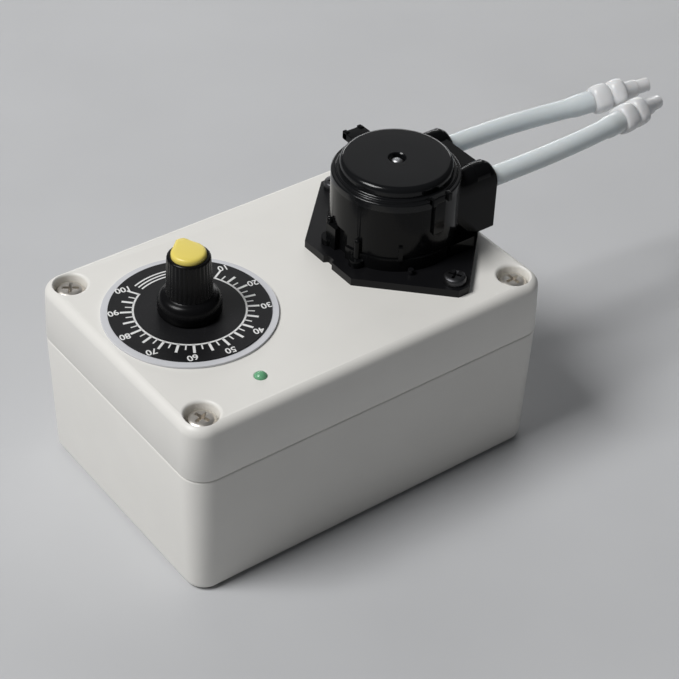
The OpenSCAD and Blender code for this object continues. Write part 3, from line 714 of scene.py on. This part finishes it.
def add_knob():
    """Hollow knob: skirt, rounded shoulder, and a fluted grip that narrows upwards."""
    flutes, flute_depth = 30, 0.13
    neck_z, neck_r, top_r = KNOB_Z + 4.9, 5.45, 5.05
    grip_z, grip_h = neck_z + 0.35, BODY_TOP - 0.95 - neck_z
    skirt_r, skirt_z, shoulder_r, shoulder_h = 7.45, KNOB_Z + 1.9, 5.6, 2.8
    outer = [(skirt_r - 0.15, KNOB_Z), (skirt_r, KNOB_Z + 0.15), (skirt_r, skirt_z)]
    outer += [(shoulder_r + (skirt_r - shoulder_r) * math.cos(a), skirt_z + shoulder_h * math.sin(a))
              for a in (math.radians(k) for k in (12, 24, 36, 48, 60, 72, 82))]
    outer += [(neck_r + 0.1, neck_z - 0.08), (neck_r, neck_z), (neck_r, grip_z)]
    outer += [(neck_r + (top_r - neck_r) * i / 8, grip_z + grip_h * i / 8) for i in range(1, 9)]
    outer += arc(top_r - 0.6, BODY_TOP - 0.6, 0.6, 0, 90, 5)
    inner = [(4.2, BODY_TOP), (4.12, BODY_TOP - 0.1), (4.12, BODY_TOP - 0.5), (3.0, BODY_TOP - 0.5),
             (3.0, KNOB_Z + 4.4), (3.9, KNOB_Z + 4.4), (3.9, KNOB_Z + 2.5), (6.2, KNOB_Z + 2.5),
             (6.2, KNOB_Z)]

    def fluted(a, r, z):
        low, high = neck_z + 0.2, BODY_TOP - 0.1
        if not low < z < high or r < 4.7:
            return r
        depth = flute_depth * min(1, (z - low) / 0.3) * min(1, (high - z) / 0.5)
        return r - depth * (0.5 - 0.5 * math.cos(flutes * a)) ** 2

    piece("knob_fluted", Form().lathe(outer + inner, AT_DIAL, n=flutes * 8, loop=True, wave=fluted),
          "knob_black", "speed_knob", ["knob_body"], angle=45)


def add_knob_cap():
    """Round cap with a pointer nose that runs out over the knob's rim."""
    radius, reach, tip, flank, nose = 4.05, 5.65, 1.1, 2.8, 0.35
    start = math.degrees(math.asin(flank / radius))
    base_x = radius * math.cos(math.radians(start))
    outline = arc(0, 0, radius, start, 360 - start, 40)
    side = [(base_x + (reach - nose - base_x) * i / 8, flank + (tip - flank) * i / 8)
            for i in range(1, 8)]
    outline += [(x, -y) for x, y in side]
    outline += [(reach - nose + nose * x, tip * y) for x, y in arc(0, 0, 1, -90, 90, 6)]
    outline += side[::-1]
    rings = []
    for d, z in ((0.0, -0.45), (0.0, 0.55), (0.1, 0.85), (0.3, 1.08), (0.62, 1.2), (1.2, 1.26)):
        k = 1 - d / radius
        rings.append([(x * k, y * k, BODY_TOP + (z if z > 0 or math.hypot(x, y) < 4.18 else 0.02))
                      for x, y in outline])
    piece("knob_pointer_cap", Form().loft(rings, AT_DIAL @ turn(78)), "knob_yellow",
          "speed_knob", ["knob_cap"], angle=50)


add_knob()
add_knob_cap()

# ---------------------------------------------------------------- pump head


def add_cap():
    """Turned cap with stepped rims and a hole for the shaft."""
    outer = [(15.45, 18.3), (15.45, 19.85)] + arc(15.0, 19.85, 0.45, 15, 90, 5)
    outer += [(14.55, 20.3), (14.4, 20.4)] + arc(14.0, 20.45, 0.4, 0, 90, 5)
    outer += [(13.6, 20.85), (13.5, 20.95), (13.5, 22.0)] + arc(12.0, 22.0, 1.5, 6, 90, 10)
    outer += [(6.0, 23.5), (2.25, 23.5), (2.05, 23.3)]
    inner = [(2.05, 21.9), (12.6, 21.9), (12.6, 18.3)]
    piece("cap_turned", Form().lathe(outer + inner, AT_HEAD, n=128, loop=True), "head_black",
          replaces=["pump_cap"], angle=30)


def add_cap_clips():
    """The clip on each side of the cap: a block, two fingers up past it and a strap down."""
    form = Form()
    for side, reach, face, far, top in ((1, 18.3, 18.1, 3.5, 21.7), (-1, 16.9, 16.2, 3.1, 21.5)):
        for (x0, near, z0), (x1, out, z1) in (((-2.2, 14.2, 19.6), (far, face, top)),
                                              ((-2.2, reach - 1.5, 19.7), (-1.2, reach, 22.0)),
                                              ((2.1, reach - 1.5, 19.7), (3.1, reach, 22.0)),
                                              ((-1.1, 15.55, 11), (1.9, 16.2, 19.9))):
            y0, y1 = sorted((side * near, side * out))
            form.block((x0, y0, z0), (x1, y1, z1), AT_HEAD)
    piece("cap_clips", form, "shaded_body_black")


def add_port_fairings():
    """Smooth humps where the deck rises over the two tube channels, clear of the rollers inside."""
    deck_z, outside, inside, roller_clear = 14, 11.44, 4.96, 13.6
    humps = ((9.0, 4.0), (10.5, 4.3), (12.0, 4.75), (13.5, 5.2), (15.0, 5.6), (16.3, 5.85),
             (17.5, 5.95), (19.2, 5.85), (20.5, 5.45), (21.4, 4.8), (21.98, 3.9))
    form = Form()
    for s in (-1, 1):
        rings = []
        for x, rise in humps:
            inner = math.sqrt(max(inside ** 2, roller_clear ** 2 - x * x))
            mid, half = (outside + inner) / 2, (outside - inner) / 2
            rings.append([(x, s * mid + half * math.cos(a), deck_z + rise * math.sin(a) ** 0.9)
                          for a in (math.pi * k / 32 for k in range(33))])
        form.loft(rings, AT_HEAD)
    piece("port_fairings", form, "shaded_body_black")


def add_shaft_tip():
    """Domed end of the motor shaft, just below the cap's face."""
    low, rim_z, rim_r, dome = 22.6, 22.68, 1.1, 0.42
    profile = [(0.0, low), (rim_r - 0.08, low)]
    profile += [(rim_r * math.cos(a), rim_z + dome * math.sin(a))
                for a in (math.radians(k) for k in (0, 20, 40, 58, 74))]
    profile.append((0.0, rim_z + dome))
    piece("shaft_tip", Form().lathe(profile, AT_HEAD, n=32), "shaft_end", "motor_rotor")


add_cap()
add_cap_clips()
add_port_fairings()
add_shaft_tip()

# ---------------------------------------------------------------- materials of the CAD nodes

SLOT_OF = {part["node"]: part["material_slot"] for part in frame["record"]["subparts"]}
# The pump body takes the darker copy of head_black, a painted shade.
LOOK_OF = {"pump_body": "shaded_body_black"}
# Width of the rounded edges, by node.
SOFT_EDGES = {"pump_body": 0.3, "mount_plate": 0.25, "jack_body": 0.3, "dial_backing": 0.12,
              "dial_face": 0.05, "jack_nut": 0.3, "pot_nut": 0.2, "mount_nuts": 0.25,
              "motor_can": 0.4, "motor_end_cap": 0.3, "pcb_terminals": 0.25, "pcb_transistor": 0.2,
              "pcb_chip": 0.15, "carrier_lower": 0.2, "carrier_upper": 0.2, "roller_1": 0.25,
              "roller_2": 0.25, "roller_3": 0.25, "pcb_capacitor": 0.2}


def finish_nodes():
    """Gives every CAD node that is still shown its material, and some of them rounded edges."""
    for name, node in frame["nodes"].items():
        if node.hide_render:
            continue
        look = MATERIALS[LOOK_OF.get(name, SLOT_OF[name])]
        if node.data.materials:
            for index in range(len(node.data.materials)):
                node.data.materials[index] = look
        else:
            node.data.materials.append(look)
        if name in SOFT_EDGES:
            weld = node.modifiers.new("weld", "WELD")
            weld.merge_threshold = 0.002 * MM
            soften(node, SOFT_EDGES[name])


finish_nodes()

# ---------------------------------------------------------------- studio


def add_light(name, at, size, power):
    """Rectangular light that faces the middle of the pump; at and size in metres, power in watts."""
    data = bpy.data.lights.new(name, "AREA")
    data.shape = "RECTANGLE"
    data.size, data.size_y = size
    data.energy = power
    light = place_in_scene(name, data)
    at = Vector(at)
    way = Vector((0.0, 0.0, 0.03)) - at
    light.matrix_world = Matrix.Translation(at) @ way.to_track_quat("-Z", "Y").to_matrix().to_4x4()


def add_floor():
    """Pale grey slab just under the pump, far larger than what the camera sees."""
    half = 1500
    form = Form().block((-half, -half, -4.0), (half, half, -0.02), edge=0.0)
    obj = place_in_scene("floor", mesh_of(form, "floor"))
    s = Surface("floor", 0.55)
    s.colours(s.noise(60, 3), (0.3, (0.53, 0.535, 0.545)), (0.7, (0.56, 0.565, 0.575)))
    obj.data.materials.append(s.material)


def add_world():
    """Faint cool light from all around."""
    world = bpy.data.worlds.new("studio")
    world.use_nodes = True
    background = world.node_tree.nodes["Background"]
    background.inputs["Color"].default_value = (0.85, 0.88, 0.93, 1)
    background.inputs["Strength"].default_value = 0.07
    bpy.context.scene.world = world


add_floor()
add_light("key", (-0.98, 0.25, 1.48), (0.7, 0.7), 28.5)
add_light("back_panel", (0.62, 0.92, 0.95), (1.3, 0.7), 0.9)
add_light("back_strip", (0.80, 1.05, 0.34), (1.3, 0.22), 4.2)
add_world()
bpy.context.scene.view_settings.view_transform = "Standard"
